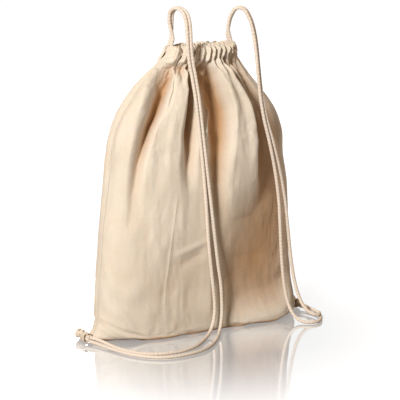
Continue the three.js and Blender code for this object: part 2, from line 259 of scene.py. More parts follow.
def cotton(name, base, dark, rough, weave_mm, slub, painted_shade_strength=0.0):
    """Natural cotton: woven threads, slubs, flecks, and painted shade, a warmer, darker colour deep in folds."""
    material = bpy.data.materials.new(name)
    graph = Graph(material)
    shader = fibre_shader(graph, rough, 0.08, 0.08, 0.5, (1.0, 0.93, 0.84), 0.25, (1.0, 0.55, 0.3), 0.004)
    uv = graph.add("UVMap", uv_map="cloth").outputs[0]

    def scaled(x, y):
        return graph.add("Mapping", {"Vector": uv, "Scale": (x, y, 1)}).outputs[0]

    plain = scaled(1, 1)
    # broad, soft variation of the unbleached cloth
    colour = graph.ramp(graph.noise(plain, 14, 4, 0.55), 0.3, 0.75, dark, base)
    # slubs: thick threads along and across
    for x, y, tint in ((260, 14, (0.93, 0.9, 0.86)), (12, 300, (0.94, 0.915, 0.88))):
        threads = graph.ramp(graph.noise(scaled(x, y), 1.0, 3, 0.55), 0.45, 0.75, NO_TINT, tint)
        colour = graph.mix("MULTIPLY", slub, colour, threads)
    # husk flecks of unbleached cotton
    fleck = graph.ramp(graph.noise(plain, 900, 1, 0.4), 0.735, 0.76, (0, 0, 0), (1, 1, 1))
    colour = graph.mix("MIX", fleck, colour, (dark[0] * 0.72, dark[1] * 0.62, dark[2] * 0.5))
    # painted shade: darker, warmer colour in the fold valleys and where the cloth rolls under to the floor
    if painted_shade_strength:
        painted_shade = graph.math("MULTIPLY", graph.attribute("painted_shade"), painted_shade_strength)
        colour = graph.mix("MULTIPLY", painted_shade, colour, PAINTED_SHADE_TINT)
    graph.feed(shader.inputs["Base Color"], colour)
    # relief of the weave on a fine, random crumple
    bands = [graph.add("TexWave", {"Scale": BAND_SCALE / weave_mm, "Distortion": 0.6, "Detail": 1.0,
                                   "Vector": plain}, wave_type="BANDS", bands_direction=direction)
             for direction in "XY"]
    weave = graph.math("ADD", bands[0].outputs["Fac"], bands[1].outputs["Fac"])
    crumple = graph.bump(graph.noise(plain, 55, 4, 0.6), 0.7, 0.0012)
    graph.feed(shader.inputs["Normal"], graph.bump(weave, 0.10, 0.0002, crumple))
    return material


CANVAS = cotton("natural_canvas", (0.66, 0.565, 0.468), (0.60, 0.505, 0.40), 0.9, 0.9, 0.3, 0.9)
FOLDED = cotton("folded_canvas", (0.63, 0.53, 0.43), (0.55, 0.455, 0.36), 0.9, 0.9, 0.75, 0.55)
OVERLOCK = cotton("overlocked_canvas", (0.60, 0.51, 0.41), (0.52, 0.43, 0.33), 0.92, 0.8, 0.8)
THREAD = cotton("cotton_thread", (0.68, 0.60, 0.51), (0.62, 0.53, 0.43), 0.8, 0.3, 0.4)


def cord_material():
    """Braided cotton: pale yarns, painted shade in the gaps between them, blotches and fibre relief."""
    material = bpy.data.materials.new("cotton_cord")
    graph = Graph(material)
    shader = fibre_shader(graph, 0.85, 0.1, 0.1, 0.45, (1.0, 0.95, 0.88), 0.2, (1.0, 0.6, 0.35), 0.0015)
    # painted shade: the yarns are painted darker in the gaps of the braid, where the relief is low
    yarn = graph.ramp(graph.attribute("groove"), 0.0, 0.55, (0.36, 0.28, 0.205), (0.67, 0.595, 0.515))
    place = graph.add("NewGeometry").outputs["Position"]
    tinted = graph.mix("MULTIPLY", graph.noise(place, 60, 3), yarn, (0.94, 0.89, 0.82))
    graph.feed(shader.inputs["Base Color"], tinted)
    graph.feed(shader.inputs["Normal"], graph.bump(graph.noise(place, 2600, 2), 0.3, 0.0003))
    return material


CORD = cord_material()

# ---------------- cords
CORD_D = 5.0
BRAID_PITCH = 5.2
BRAID_YARNS = 4
TIP = 0.3
LEFT_A = [
    [-41.5, -2.8, 416], [-40.4, -2.7, 419.6], [-43, -2.1, 431], [-45.4, -1.4, 444],
    [-46.4, -5.5, 457.4], [-44.6, -17.6, 463.4], [-40.6, -30.2, 458], [-38.6, -35.4, 445],
    [-37.8, -36.6, 431], [-37.4, -37.5, 412], [-35.7, -39, 390], [-32.4, -41, 369],
    [-29.4, -44.5, 342], [-27.8, -48, 316], [-27, -52, 290], [-25.8, -56, 261],
    [-23.9, -59, 228], [-22, -61.5, 191], [-18, -62.5, 132], [-12.5, -62, 87],
    [-8.2, -61.5, 54], [-7.4, -61.5, 36], [-9.8, -63, 21.5], [-16, -66.6, 10.4],
    [-26, -73.8, 4.2], [-40, -86, 2.7], [-56, -99.5, 2.7], [-76, -111.5, 2.7],
    [-100, -116.5, 2.7], [-126, -112, 2.7], [-146, -98.5, 2.7], [-158, -78.5, 2.7],
    [-165.5, -58, 3.2], [-171.5, -40, 5.5], [-177.5, -25, 8.4], [-183.1, -13.5, 9.4],
]
LEFT_B = [
    [-41.5, 2.8, 416], [-40.4, 2.9, 419.6], [-39.4, 2.3, 431], [-40, 0.4, 444],
    [-40.8, -4.9, 457.4], [-39, -17.6, 463.4], [-35, -30.2, 458], [-33, -35.4, 445],
    [-32.2, -36.6, 431], [-31.8, -37.5, 412], [-30.1, -39, 390], [-26.8, -41, 369],
    [-23.8, -44.5, 342], [-22.2, -48, 316], [-21.4, -52, 290], [-20, -56, 261],
    [-17.5, -59, 228], [-13.8, -61.5, 191], [-9.4, -62.5, 152], [-2.8, -62.5, 103],
    [2.6, -62, 70], [4.6, -61.5, 44], [4, -62.4, 27], [0, -66, 13.5],
    [-8, -74.5, 5.2], [-22, -91, 2.7], [-38, -107.5, 2.7], [-56, -121, 2.7],
    [-75, -129.5, 2.7], [-97, -133, 2.7], [-119, -131.5, 2.7], [-138, -123.5, 2.7],
    [-153, -108.5, 2.7], [-164, -89, 2.7], [-171, -68, 2.7], [-175.5, -48, 2.9],
    [-180, -28, 3.6], [-184.9, -13.5, 4.4],
]
RIGHT_A = [
    [55, -2.8, 416], [54, -2.6, 419.6], [51, -4.2, 431], [51.2, -8.8, 446.5],
    [56.4, -15.6, 458.4], [64.6, -22.6, 457.6], [70.9, -28.4, 444.4], [75, -32.6, 425],
    [77.4, -35.6, 402], [79.1, -37.6, 378], [80.6, -39.4, 354], [83, -41.4, 328],
    [87.3, -44.5, 299], [94.7, -47.5, 266.5], [103.6, -49, 225], [109.6, -51, 180],
    [112.3, -51.8, 135], [114.4, -53.4, 90], [117, -57.5, 50], [119, -64, 27],
    [121.4, -73, 12.5], [125, -84, 5], [131, -94, 2.8], [140, -99.5, 2.7],
    [150.5, -98, 2.7], [161.5, -88.5, 2.7], [170.6, -73, 2.8], [176, -55, 3.2],
    [175.8, -38, 3.9], [170.6, -23.5, 4.4],
]
RIGHT_B = [
    [55, 2.8, 416], [54.2, 3, 419.6], [54.7, 0.6, 431], [55.8, -4.9, 446.5],
    [60.9, -12, 458.4], [69, -19.3, 457.6], [75.3, -25.1, 444.4], [79.4, -29.4, 425],
    [81.8, -32.4, 402], [83.5, -34.4, 378], [85.3, -36.4, 354], [88.2, -38.8, 328],
    [93.3, -42, 299], [102, -45.5, 266.5], [114.5, -45.5, 223], [124, -46, 178],
    [130.5, -45.8, 132], [135, -47.6, 89], [138.5, -51.8, 57], [141, -58.5, 36],
    [143.6, -68, 20.5], [147.8, -77.6, 11.8], [154.2, -84, 8.6], [161.6, -84, 8],
    [167, -76.5, 7.6], [168.8, -64.5, 7.3], [168.8, -50, 7.6], [168.9, -36, 8.8],
    [169.2, -23.5, 9.4],
]


def braid(theta, s, pitch, count):
    """Relief of a round braid, 0 in the gaps to 1 on top: two families of yarns, over and under."""
    u = theta * count / FULL_TURN + s / pitch
    v = theta * count / FULL_TURN - s / pitch
    over = np.cos(math.pi * v) * np.where(np.floor(u) % 2 == 0, 1, -1)
    under = -np.cos(math.pi * u) * np.where(np.floor(v) % 2 == 0, 1, -1)

    def yarn(place, lift):
        return np.sqrt(np.clip(1 - (2 * (place % 1) - 1) ** 2, 0, 1)) * (0.72 + 0.28 * lift)

    return np.maximum(yarn(u, over), yarn(v, under))


def braided(name, route, diameter=CORD_D, step=0.6, around=30):
    """A braided cord along a route, with pointed ends."""
    line, length = catmull(route, 1 / step)
    t, n, b = frames(line)
    s = np.linspace(0, length, len(line))
    theta = np.linspace(0, FULL_TURN, around, endpoint=False)
    relief = braid(theta[None], s[:, None], BRAID_PITCH, BRAID_YARNS)
    radius = (diameter / 2) * (0.86 + 0.16 * relief)
    ring = np.cos(theta)[None, :, None] * n[:, None] + np.sin(theta)[None, :, None] * b[:, None]
    wall = (line[:, None] + ring * radius[..., None]).reshape(-1, 3)
    points = np.vstack([wall, line[0] - t[0] * TIP, line[-1] + t[-1] * TIP])
    k = np.arange(around)
    after = (k + 1) % around
    last = len(wall) - around
    caps = np.vstack([np.stack([np.full(around, len(wall)), after, k], 1),
                      np.stack([np.full(around, len(wall) + 1), last + k, last + after], 1)])
    obj = make_object(name, points, grid_faces(len(line), around, wrap=True), CORD, triangles=caps,
                      values=("groove", np.concatenate([relief.ravel(), [0.2, 0.2]])))
    return obj, line, length


CASING_Z = 398.1
MOUTH_X, MOUTH_HALF = 7.0, 44.0
MOUTH_LEFT, MOUTH_RIGHT = MOUTH_X - MOUTH_HALF, MOUTH_X + MOUTH_HALF
CASING_ENDS_Y = 9
CHANNEL = 2.75


def casing_y(x):
    """Distance of the casing's middle from the sack's middle plane."""
    share = (np.asarray(x, float) - MOUTH_X) / MOUTH_HALF
    return CASING_ENDS_Y + 4.5 * (1 - np.minimum(share * share, 1))


def casing_run(rise, channel, near, far, turn):
    """Route of a cord once round the mouth: down from its exit, along one casing, back along the other."""
    there = [[x, -(float(casing_y(x)) + channel), CASING_Z] for x in np.linspace(near, far, 13)]
    out = turn if far > near else -turn
    y = (CASING_ENDS_Y + channel) * 0.72
    turned = [[far + out * 0.7, -y, CASING_Z], [far + out, 0, CASING_Z], [far + out * 0.7, y, CASING_Z]]

    def mirrored(points):
        return [[x, -py, z] for x, py, z in points][::-1]

    return rise + there + turned + mirrored(there) + mirrored(rise)


LEFT_RISE = [[-41.6, -2.8, 415.7], [-42.9, -3.1, 412], [-43.7, -6, 406.8], [-43, -9.8, 401.8]]
RIGHT_RISE = [[55.1, -2.8, 415.7], [56.2, -3, 412], [56.6, -4.4, 406.8], [55.6, -5.8, 401.8]]
RUNS = {
    "left_run": casing_run(LEFT_RISE, CHANNEL, MOUTH_LEFT - 1.5, MOUTH_RIGHT + 1, 6),
    "right_run": casing_run(RIGHT_RISE, -CHANNEL, MOUTH_RIGHT + 0.5, MOUTH_LEFT - 3, 5.5),
}
STRANDS = {"left_strand_a": LEFT_A, "left_strand_b": LEFT_B,
           "right_strand_a": RIGHT_A, "right_strand_b": RIGHT_B}
cord_lines = {}
cord_objects = {}
for cord_name, cord_route in {**STRANDS, **RUNS}.items():
    cord_objects[cord_name], *cord_lines[cord_name] = braided("cord_" + cord_name, cord_route)
for cord_name, cord_node in (("left_run", "left_cord_run"), ("right_run", "right_cord_run")):
    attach(cord_objects[cord_name], "bag")
    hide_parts(cord_node)


# ---------------- knots
KNOT_FLOOR = 0.0003  # m, what is lower is pressed almost flat to it


def knot(name, centre, entries, tails, tilt):
    """An overhand knot: the doubled cord round itself, both ends left as short tails."""
    centre = np.array(centre, float)
    routes = []
    phase = np.linspace(0, FULL_TURN * 1.12, 26)
    ca, sa = math.cos(tilt), math.sin(tilt)
    for k, (ring, lift) in enumerate(((5.3, 1.6), (4.6, -2.2))):
        x = ring * np.cos(phase + k * 2.2)
        z = ring * np.sin(phase + k * 2.2) * 0.95
        y = lift + 2.0 * np.sin(phase * 0.5 + k)
        routes.append((np.stack([x * ca - y * sa, x * sa + y * ca, z], 1) + centre, 4.6))
    for start, rise in zip(entries, (-1.5, 1.5)):
        inside = centre + np.array([0, -1.5, rise])
        path = [start, start * 0.66 + inside * 0.34 + [0, 0.5, 0], start * 0.3 + inside * 0.7, inside]
        routes.append((path, CORD_D))
    for direction in tails:
        d = np.array(direction, float)
        d /= np.linalg.norm(d)
        routes.append(([centre + d * away - [0, 0, sag] for away, sag in ((0, 0), (7, 0), (12, 0.6), (17, 1.8))], 4.8))
    made = [braided(f"{name}_{i}", path, diameter, step=0.5, around=22)[0]
            for i, (path, diameter) in enumerate(routes)]
    bpy.ops.object.select_all(action="DESELECT")
    for part in made:
        part.select_set(True)
    bpy.context.view_layer.objects.active = made[0]
    bpy.ops.object.join()
    joined = bpy.context.view_layer.objects.active
    joined.name = name
    for v in joined.data.vertices:
        if v.co.z < KNOT_FLOOR:
            v.co.z = KNOT_FLOOR + (v.co.z - KNOT_FLOOR) * 0.05
    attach(joined, "bag")
    return joined


def behind(p):
    """Just past the end of a strand, inside its knot."""
    return np.array([p[0], p[1] + 3.0, p[2]])


left_knot = knot("knot_left", [-184, 15, 8.6], [behind(LEFT_A[-1]), behind(LEFT_B[-1])],
                 [[0.45, 1, -0.1], [0.95, 0.8, -0.3]], 0.4)
right_knot = knot("knot_right", [173, 5.5, 8.6], [behind(RIGHT_B[-1]), behind(RIGHT_A[-1])],
                  [[0.4, 1, 0.25], [1, 0.5, -0.35]], -0.5)
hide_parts("left_knot")
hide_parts("right_knot")

# ---------------- cloth of the sack
CLOTH_T = 0.7
CLOTH_WIDE, CLOTH_TALL = 360, 470  # mm, of the noise and the creases
VALLEY_SCALE = 2.1
RIDGE_SCALE = 1.4
STITCH_Z = 387.5
CUT_WIDE = 0.357  # m, the cut of each cloth
stitch_lines = {}

# Rings of the cloth: seam height, middle height, left seam, right seam, half depth.
# The first rings roll under to the floor, the last ones are the casing.
RINGS = np.array([
    [0, 0, -177, 163, 0], [3, 0, -176, 163, 22], [8, 0, -173, 163, 35], [16, 0, -168.5, 163, 43],
    [24, 0, -165.5, 162.8, 48], [31, 3, -164.3, 162.4, 50.5], [39, 9, -163.5, 162, 51.5],
    [54, 27, -162.5, 161.5, 52.5], [78, 62, -160.8, 160.6, 55.5], [115, 110, -157, 159.5, 58],
    [160, 158, -153, 158.5, 58.5], [200, 200, -147, 156, 56.5], [240, 240, -141, 149, 54],
    [270, 270, -138, 147.5, 50.5], [290, 290, -133.5, 141.5, 47.5], [308, 308, -126, 133, 44],
    [325, 325, -114.5, 121, 39.5], [342, 342, -102.5, 105.5, 35], [358, 358, -90, 92, 30.5],
    [372, 372, -76, 80, 26], [385, 385, -62.5, 66, 22.5], [394, 394, -54.5, 62, 21.5],
    [403, 403, -48, 60, 20.8],
], float)
BASE_PUSH = 15.0  # mm that the right end of the base stands further forward
CORNER_FROM, CORNER_TO, CORNER_TOP, CORNER_FORWARD = 135, 163, 40, 10
BASE_POWER, TOP_POWER = 2.8, 2.2  # how square a ring is, low and high


def ring_outline(t, count=360):
    """Outline of the -Y half at ring number t, from the left seam to the right."""
    i = np.clip(np.floor(t).astype(int), 0, len(RINGS) - 2)
    p0 = RINGS[np.clip(i - 1, 0, None)]
    p1, p2 = RINGS[i], RINGS[i + 1]
    p3 = RINGS[np.clip(i + 2, None, len(RINGS) - 1)]
    f = (t - i)[:, None]
    linear = p1 + (p2 - p1) * f
    curved = 0.5 * (2 * p1 + (p2 - p0) * f + (2 * p0 - 5 * p1 + 4 * p2 - p3) * f**2
                    + (3 * p1 - p0 - 3 * p2 + p3) * f**3)
    share = smooth(t, 8, 11)[:, None]
    v = linear * (1 - share) + curved * share
    seam_z, middle_z, left, right, depth = (v[:, k:k + 1] for k in range(5))
    power = (BASE_POWER + (TOP_POWER - BASE_POWER) * np.clip(t / 20, 0, 1))[:, None]
    angle = np.linspace(math.pi, 0, count)[None]
    across = signed_power(np.cos(angle), 2 / power)
    out = np.clip(np.sin(angle), 0, 1) ** (2 / power)
    side = np.clip((np.abs(across) - 0.55) / 0.45, 0, 1) ** 2
    x = (left + right) / 2 + across * (right - left) / 2
    return np.stack([x, -0.2 - depth * out, middle_z + (seam_z - middle_z) * side], -1)


def even_rows(outline, u):
    """Samples each row of an outline at arc-length shares u."""
    rows = []
    for row in outline:
        s = lengths(row)
        rows.append(sample(u, s / s[-1], row))
    return np.stack(rows)


def pchip(x, y, q):
    """Monotone cubic through (x, y), at q."""
    h = np.diff(x)
    d = np.diff(y) / h
    m = np.zeros_like(y)
    same = d[:-1] * d[1:] > 0
    w1, w2 = 2 * h[1:] + h[:-1], h[1:] + 2 * h[:-1]
    with np.errstate(divide="ignore", invalid="ignore"):
        inner = (w1 + w2) / (w1 / d[:-1] + w2 / d[1:])
    m[1:-1] = np.where(same, inner, 0)
    m[0], m[-1] = d[0] * 0.5, d[-1] * 0.5
    i = np.clip(np.searchsorted(x, q) - 1, 0, len(x) - 2)
    t = (q - x[i]) / h[i]
    return (y[i] * (1 + 2 * t) * (1 - t) ** 2 + m[i] * h[i] * t * (1 - t) ** 2
            + y[i + 1] * t * t * (3 - 2 * t) + m[i + 1] * h[i] * t * t * (t - 1))


# Folds of the front, laid one by one. Each line runs down the cloth: at each height its place
# across the cloth in percent, then, from the third height on, how far it stands out (+) or
# sinks in (-), in mm. The last number of a list holds for the heights that are left.
FOLD_Z = np.array([403, 388, 380, 370, 350, 320, 290, 250, 210, 160, 100, 40], float)
FRONT_FOLDS = [
    # left crest, valley under the bump, crisp ridge
    ([2, 2, 2, 3, 7.5, 9.5, 10, 9, 9, 10, 12], [0, 3, 9, 9, 6, 3, 1, 0]),
    ([10, 10, 12.5, 17.2, 18.6, 17.5, 16, 13, 12, 12, 14], [-13, -18, -18, -15, -10, -5, -2, 0]),
    ([15, 16, 17.5, 22.2, 23.4, 21.6, 19, 17, 17, 18, 20], [-3, 0, 3, 4, 4, 2, 1, 0]),
    # bright field with a dimple near the casing
    ([19, 20, 22, 25, 26, 25, 24, 23, 23, 24, 25], [-7, -1, 4, 6, 5, 3, 2, 1, 0]),
    ([24, 25, 26, 28, 29.5, 28, 27, 26.5, 27, 28, 29], [-10, -2, 5, 7, 6.5, 5, 2, 1, 0]),
    # pocket beside the left strap
    ([29, 29, 29.5, 31.5, 32.8, 31, 30.2, 30, 31, 33, 34], [-3, 3, 5.5, 7, 6.5, 4.5, 2, 1, 0]),
    ([31, 31, 32, 35.2, 38, 37.5, 36.8, 36, 36, 36, 37], [-8, -8, -9, -10, -10, -5, -0.5, 0]),
    ([35, 35, 36, 38.5, 41.2, 41.8, 41.2, 40, 40, 41], [-1, 2, 2, 1.5, 1, 0]),
    # wide dark valley, a ridge crossing it, its lower half
    ([40, 40, 41, 43, 43.8, 44, 44, 43.5, 43], [-9, -8, -4, -2, -1, 0]),
    ([47, 47, 47.5, 49, 49.5, 48.5, 47.5, 46, 44.5, 44], [-11, -12, -10, -8, -6, -3, 0]),
    ([53, 53, 53.5, 54.5, 55.3, 54.5, 52, 49, 46.5, 46, 47], [-8, -13, -15, -14, -12, -8, -3, 0]),
    ([56, 56, 56, 57.2, 58.5, 57.8, 55, 51.5, 49, 50], [-3, -7, -9, -12, -12, -10, -6, -3, -2, -1.5]),
    # broad bright fold with a soft hollow
    ([58.5, 59, 59.5, 60.5, 62, 61.5, 60, 57.5, 56], [1, 6, 8, 7, 6, 4, 1, -3.5, -4.5, -3.5]),
    ([63, 63.5, 64, 65, 66.5, 66.5, 65, 64, 63, 62, 61], [1, 5, 5, 5, 5, 4, 0, -5.5, -7, -5]),
    ([68, 68, 69, 70, 70.5, 70, 69, 68, 68, 67], [0, 4, 8, 9, 8, 5, -1, -7.5, -8.5, -6]),
    # two valleys with a thin ridge between them
    ([74, 74, 74.5, 77.2, 77.5, 76.8, 75.8, 75, 75, 75, 74], [-9, -8, -9, -10, -10, -9, -8.5, -9, -9.5, -6.5]),
    ([78, 78, 78.5, 81.2, 81.2, 80.6, 80], [-2, -2, -3, -6, -9, -9, -9, -9.5, -9.5, -6.5]),
    ([84, 84, 85, 87, 87, 86], [-7, -7, -8, -9, -10, -10, -9.2, -9, -8.5, -6]),
    ([94], [-2, -1, -2, -4, -5, -5, -5, -5, -4, -2]),
]
BACK_FOLDS = [
    ([3, 3, 3, 4, 5, 6, 6, 7, 8], [0, 2, 4, 4, 3, 2, 1, 0]),
    ([11, 11, 12, 13, 14, 15, 14, 13, 12], [-9, -10, -9, -7, -5, -2, 0]),
    ([19, 19, 20, 21, 22, 22, 23, 22, 21], [-1, 4, 6, 6, 4, 3, 1, 0]),
    ([27, 27, 28, 29, 30, 31, 30, 29], [-11, -13, -12, -10, -8, -6, -4, -2, 0]),
    ([35, 35, 36, 37, 39, 40, 39, 38, 37], [-1, 5, 7, 7, 6, 4, 2, 1, 0]),
    ([44, 44, 44, 45.5, 46, 47, 48, 47, 46], [-8, -8, -6, -5, -3, -1, 0]),
    ([51, 51, 52, 53, 53, 53, 54], [-1, 4, 6, 7, 6, 4, 2, 1, 0]),
    ([60, 60, 60, 61, 61, 62], [-12, -14, -13, -12, -9, -7, -4, -2, 0]),
    ([67, 67, 67, 68, 68, 69], [-1, 5, 6, 7, 6, 4, 2, 1, 0]),
    ([75, 75, 76, 77], [-8, -8, -8, -6, -4, -2, -1, 0]),
    ([83, 83, 84, 85], [-1, 4, 5, 5, 4, 3, 1, 0]),
    ([90, 90, 90, 91], [-6, -6, -5, -4, -3, -1, 0]),
]


def fold_field(folds, u, z):
    """Displacement for rows at heights z and columns at shares u."""
    def by_row(table):
        filled = [row + row[-1:] * (len(FOLD_Z) - len(row)) for row in table]
        return np.stack([np.interp(z, FOLD_Z[::-1], row[::-1]) for row in filled], 1)

    shares = by_row([share for share, _ in folds]) / 100
    depths = by_row([[0, 0] + depth for _, depth in folds])
    out = []
    for xs, ds in zip(shares, depths):
        xs = np.concatenate([[0], xs, [1]])
        # lines that meet are kept a hair apart
        xs = np.maximum.accumulate(xs + np.arange(len(xs)) * 1e-5)
        out.append(pchip(xs, np.concatenate([[0], ds, [0]]), u))
    return np.array(out)


def noise_field(shape, wave_u, wave_v, seed):
    """Smooth seeded noise on the cloth, unit spread; waves are its typical lengths in mm."""
    raw = np.random.default_rng(seed).standard_normal(shape)
    ky = np.fft.fftfreq(shape[0], CLOTH_TALL / shape[0])[:, None] * wave_v
    kx = np.fft.fftfreq(shape[1], CLOTH_WIDE / shape[1])[None] * wave_u
    k2 = kx**2 + ky**2
    field = np.fft.ifft2(np.fft.fft2(raw) * np.exp(-1.2 * k2) * np.sqrt(k2 + 0.05)).real
    return (field - field.mean()) / field.std()


def blurred(field, sigma):
    """Gaussian blur of a field along both axes by FFT."""
    pad = int(4 * sigma) + 1
    f = np.pad(field, pad, mode="edge")
    ky = np.fft.fftfreq(f.shape[0])[:, None]
    kx = np.fft.fftfreq(f.shape[1])[None]
    g = np.exp(-2 * (math.pi * sigma) ** 2 * (kx**2 + ky**2))
    return np.fft.ifft2(np.fft.fft2(f) * g).real[pad:-pad, pad:-pad]


def normals_of(points, front, row=None):
    """Unit normals of a grid of points, away from the sack. They are judged in the middle of a row."""
    rows, columns, _ = points.shape
    n = unit(np.cross(np.gradient(points, axis=1), np.gradient(points, axis=0)))
    outward = -1 if front else 1
    judged = n[rows // 2 if row is None else row, columns // 2, 1]
    return -n if judged * outward < 0 else n


cord_points = np.vstack([cord_lines[k][0] for k in STRANDS])
near_cords = KDTree(len(cord_points))
for cord_index, cord_point in enumerate(cord_points):
    near_cords.insert(cord_point, cord_index)
near_cords.balance()


DENT_Y = -18  # only the cloth in front of this lies under a cord
DENT_SEARCH = 14
DENT_MOST = 16


def clear_of_cords(points, normal, least):
    """How far the cloth sinks under a cord that lies on it, to be least mm from its middle."""
    flat = points.reshape(-1, 3)
    flat_n = normal.reshape(-1, 3)
    low, high = cord_points.min(0) - DENT_SEARCH, cord_points.max(0) + DENT_SEARCH
    candidates = np.nonzero(((flat > low) & (flat < high)).all(1) & (flat[:, 1] < DENT_Y))[0]
    amount = np.zeros(len(flat))
    for i in candidates:
        _, index, distance = near_cords.find(flat[i])
        if distance > DENT_SEARCH:
            continue
        gap = cord_points[index] - flat[i]
        height = np.dot(gap, flat_n[i])
        reach = np.linalg.norm(gap - flat_n[i] * height)
        if reach < least:
            need = math.sqrt(least**2 - reach**2) - height
            if 0 < need < DENT_MOST:
                amount[i] = need
    push = amount.reshape(points.shape[:2])
    return np.maximum(push, blurred(push, 3.0))


def wrinkles(u, z, seed):
    """Crumpling: long soft wrinkles everywhere, finer ones towards the gathers, random ones in patches."""
    def noise(wave_u, wave_v, number):
        return noise_field((len(z), len(u)), wave_u, wave_v, seed + number)

    upper = smooth(z, 180, 360)[:, None]
    lower = (1 - smooth(z, 60, 120))[:, None]
    calm = 1 - smooth(u, 0.78, 0.9)[None] * (1 - upper)
    patch = smooth(noise(90, 90, 6), -0.8, 1.6)
    return (noise(60, 110, 0) * (0.35 + 0.5 * upper)
            + noise(16, 46, 1) * (0.10 + 0.28 * upper) * calm
            + noise(11, 13, 5) * (0.03 + 0.11 * patch)
            + noise(30, 26, 7) * (0.08 + 0.28 * patch) * calm
            + noise(40, 22, 2) * 0.5 * lower)


def cloth_panel(name, front):
    """One cloth of the sack, panel and casing in one piece."""
    nu, nv = ((620, 640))
    u = np.linspace(0, 1, nu)
    # rows closer together near the base and the casing
    t = np.concatenate([np.linspace(0, 8, nv // 5, endpoint=False), np.linspace(8, 18, nv // 2, endpoint=False),
                        np.linspace(18, 22, nv - nv // 5 - nv // 2)])
    base = even_rows(ring_outline(t), u)
    z = base[:, nu // 2, 2]
    # both cloths are made on the -Y side; the back one is mirrored below
    normal = normals_of(base, True)
    d = fold_field(FRONT_FOLDS if front else BACK_FOLDS, u, z)
    d = np.where(d < 0, d * VALLEY_SCALE, d * RIDGE_SCALE)
    # valleys stop short of the middle plane, and the full base has no folds
    room = np.maximum(np.abs(base[..., 1]) - 3.0, 0.2)
    d = np.where(d < 0, -room * np.tanh(-d / room), d) * smooth(z, 3, 48)[:, None]
    if front:
        d += front_creases(u, z)
    d += wrinkles(u, z, RNG_SEED + (0 if front else 50))
    d *= window(u, 0, 0.03, 0.97, 1)[None]
    d += pleats(u, z, front)
    points = base + normal * d[..., None]
    if front:
        points = points + bump_shift(u, z)
        # the contents push the right end of the base out to a squarer, flatter front edge
        pushed = window(points[..., 0], 20, 115, 138, 162) * (1 - smooth(points[..., 2], 6, 60))
        points[..., 1] -= BASE_PUSH * pushed * smooth(-points[..., 1], 0, 14)
    points[..., 1] = np.minimum(points[..., 1], -CLOTH_T / 2)
    if front:
        for _ in range(2):
            sink = clear_of_cords(points, normal, CORD_D / 2 + CLOTH_T / 2 + 0.25)
            points = points - normal * sink[..., None]
    corner = smooth(points[..., 0], CORNER_FROM, CORNER_TO) * (1 - smooth(points[..., 2], 0, CORNER_TOP))
    points[..., 2] = np.maximum(points[..., 2], CLOTH_T / 2 + 0.05)
    if not front:
        points[..., 1] *= -1
    # the left end of the casing is rolled, so that its seam lies behind
    rolled = (1 - smooth(u, 0, 0.13))[None] * smooth(z, 374, 396)[:, None]
    points[..., 1] += 5.0 * rolled - CORNER_FORWARD * corner
    if not front:
        points[..., 0] += 0.6 * rolled
    row = int(np.argmin(np.abs(z - STITCH_Z)))
    stitch_lines[name] = (points[row], normals_of(points, front, row)[row])
    turned = hem(points, u, front)
    # painted shade: the deeper the cloth sinks into a fold, the darker and warmer it is painted
    depth = np.vstack([d, np.zeros((len(turned), nu))])
    depth = np.clip(-blurred(depth, 1.5) / 20, 0, 1) ** 1.2
    points = np.concatenate([points, turned])
    # painted shade: the cloth is darker where it rolls under to the floor
    low_rows = 1 - smooth(np.arange(len(points)), nv // 3, nv // 3 + 2)
    depth = np.maximum(depth, (1 - smooth(points[..., 2], 1.2, 6.5)) * low_rows[:, None])
    return close_sheet(name, points, u, depth, front)


# Soft hollows of the slack lower body: share across, height, width, tallness, depth in mm.
HOLLOWS = [(.34, 85, 62, 48, 4.0), (.60, 70, 55, 45, 2.5), (.16, 150, 40, 60, 1.6)]
# Shallow wrinkles: share and height of both ends, width in shares, height in mm. The last
# one is the fold that crosses the wide valley beside the left strap.
WRINKLES = [
    (.205, 165, .262, 108, .016, 0.9), (.315, 121, .445, 136, .014, 1.5), (.33, 104, .43, 120, .02, -1.6),
    (.06, 66, .10, 34, .014, 1.6), (.10, 38, .17, 10, .016, 1.4), (.03, 100, .07, 62, .014, 1.2),
    (.62, 62, .70, 34, .03, 0.7), (.12, 240, .20, 200, .03, 0.7), (.435, 284, .505, 326, .017, 6.0),
]


def front_creases(u, z):
    """Pressed and thin creases that are too fine for the fold lines."""
    uu, zz = u[None], z[:, None]

    def beside(heights, shares):
        return uu - np.interp(z, heights, shares)[:, None]

    # pressed crease from the folded bag
    pressed = beside([30, 87, 145, 200], [.278, .282, .291, .300])
    out = 0.9 * np.exp(-np.abs(pressed) / 0.006) * window(zz, 30, 60, 185, 215)
    for u0, z0, wide, tall, sink in HOLLOWS:
        out -= sink * bell(uu, u0, wide / CLOTH_WIDE) * bell(zz, z0, tall)
    # thin lines beside the crisp ridge and inside the valley
    line = beside([320, 335, 350, 370, 384], [.232, .236, .242, .222, .203])
    out -= 2.4 * bell(line, 0, 0.0075) * window(zz, 318, 340, 380, 388)
    line = beside([300, 330, 360, 384], [.43, .45, .445, .44])
    out += 1.5 * bell(line, 0, 0.008) * window(zz, 305, 325, 372, 384)
    # pale line running down to the right side
    line = beside([245, 290, 326], [.93, .868, .825])
    out += 1.6 * bell(line, 0, 0.007) * window(zz, 248, 262, 318, 335)
    for u0, z0, u1, z1, width, height in WRINKLES:
        over, up = (u1 - u0) * CLOTH_WIDE, z1 - z0
        along = ((uu - u0) * CLOTH_WIDE * over + (zz - z0) * up) / (over**2 + up**2)
        away = np.hypot((uu - u0) * CLOTH_WIDE - over * along, zz - z0 - up * along)
        out += height * bell(away, 0, width * CLOTH_WIDE) * window(along, -0.15, 0.25, 0.75, 1.15)
    return out


PLEATS = 12
PLEAT_HEIGHT = 3.4
SLIT_AT = 0.192  # share across the front of the dark slit between the puffed end and the gathers


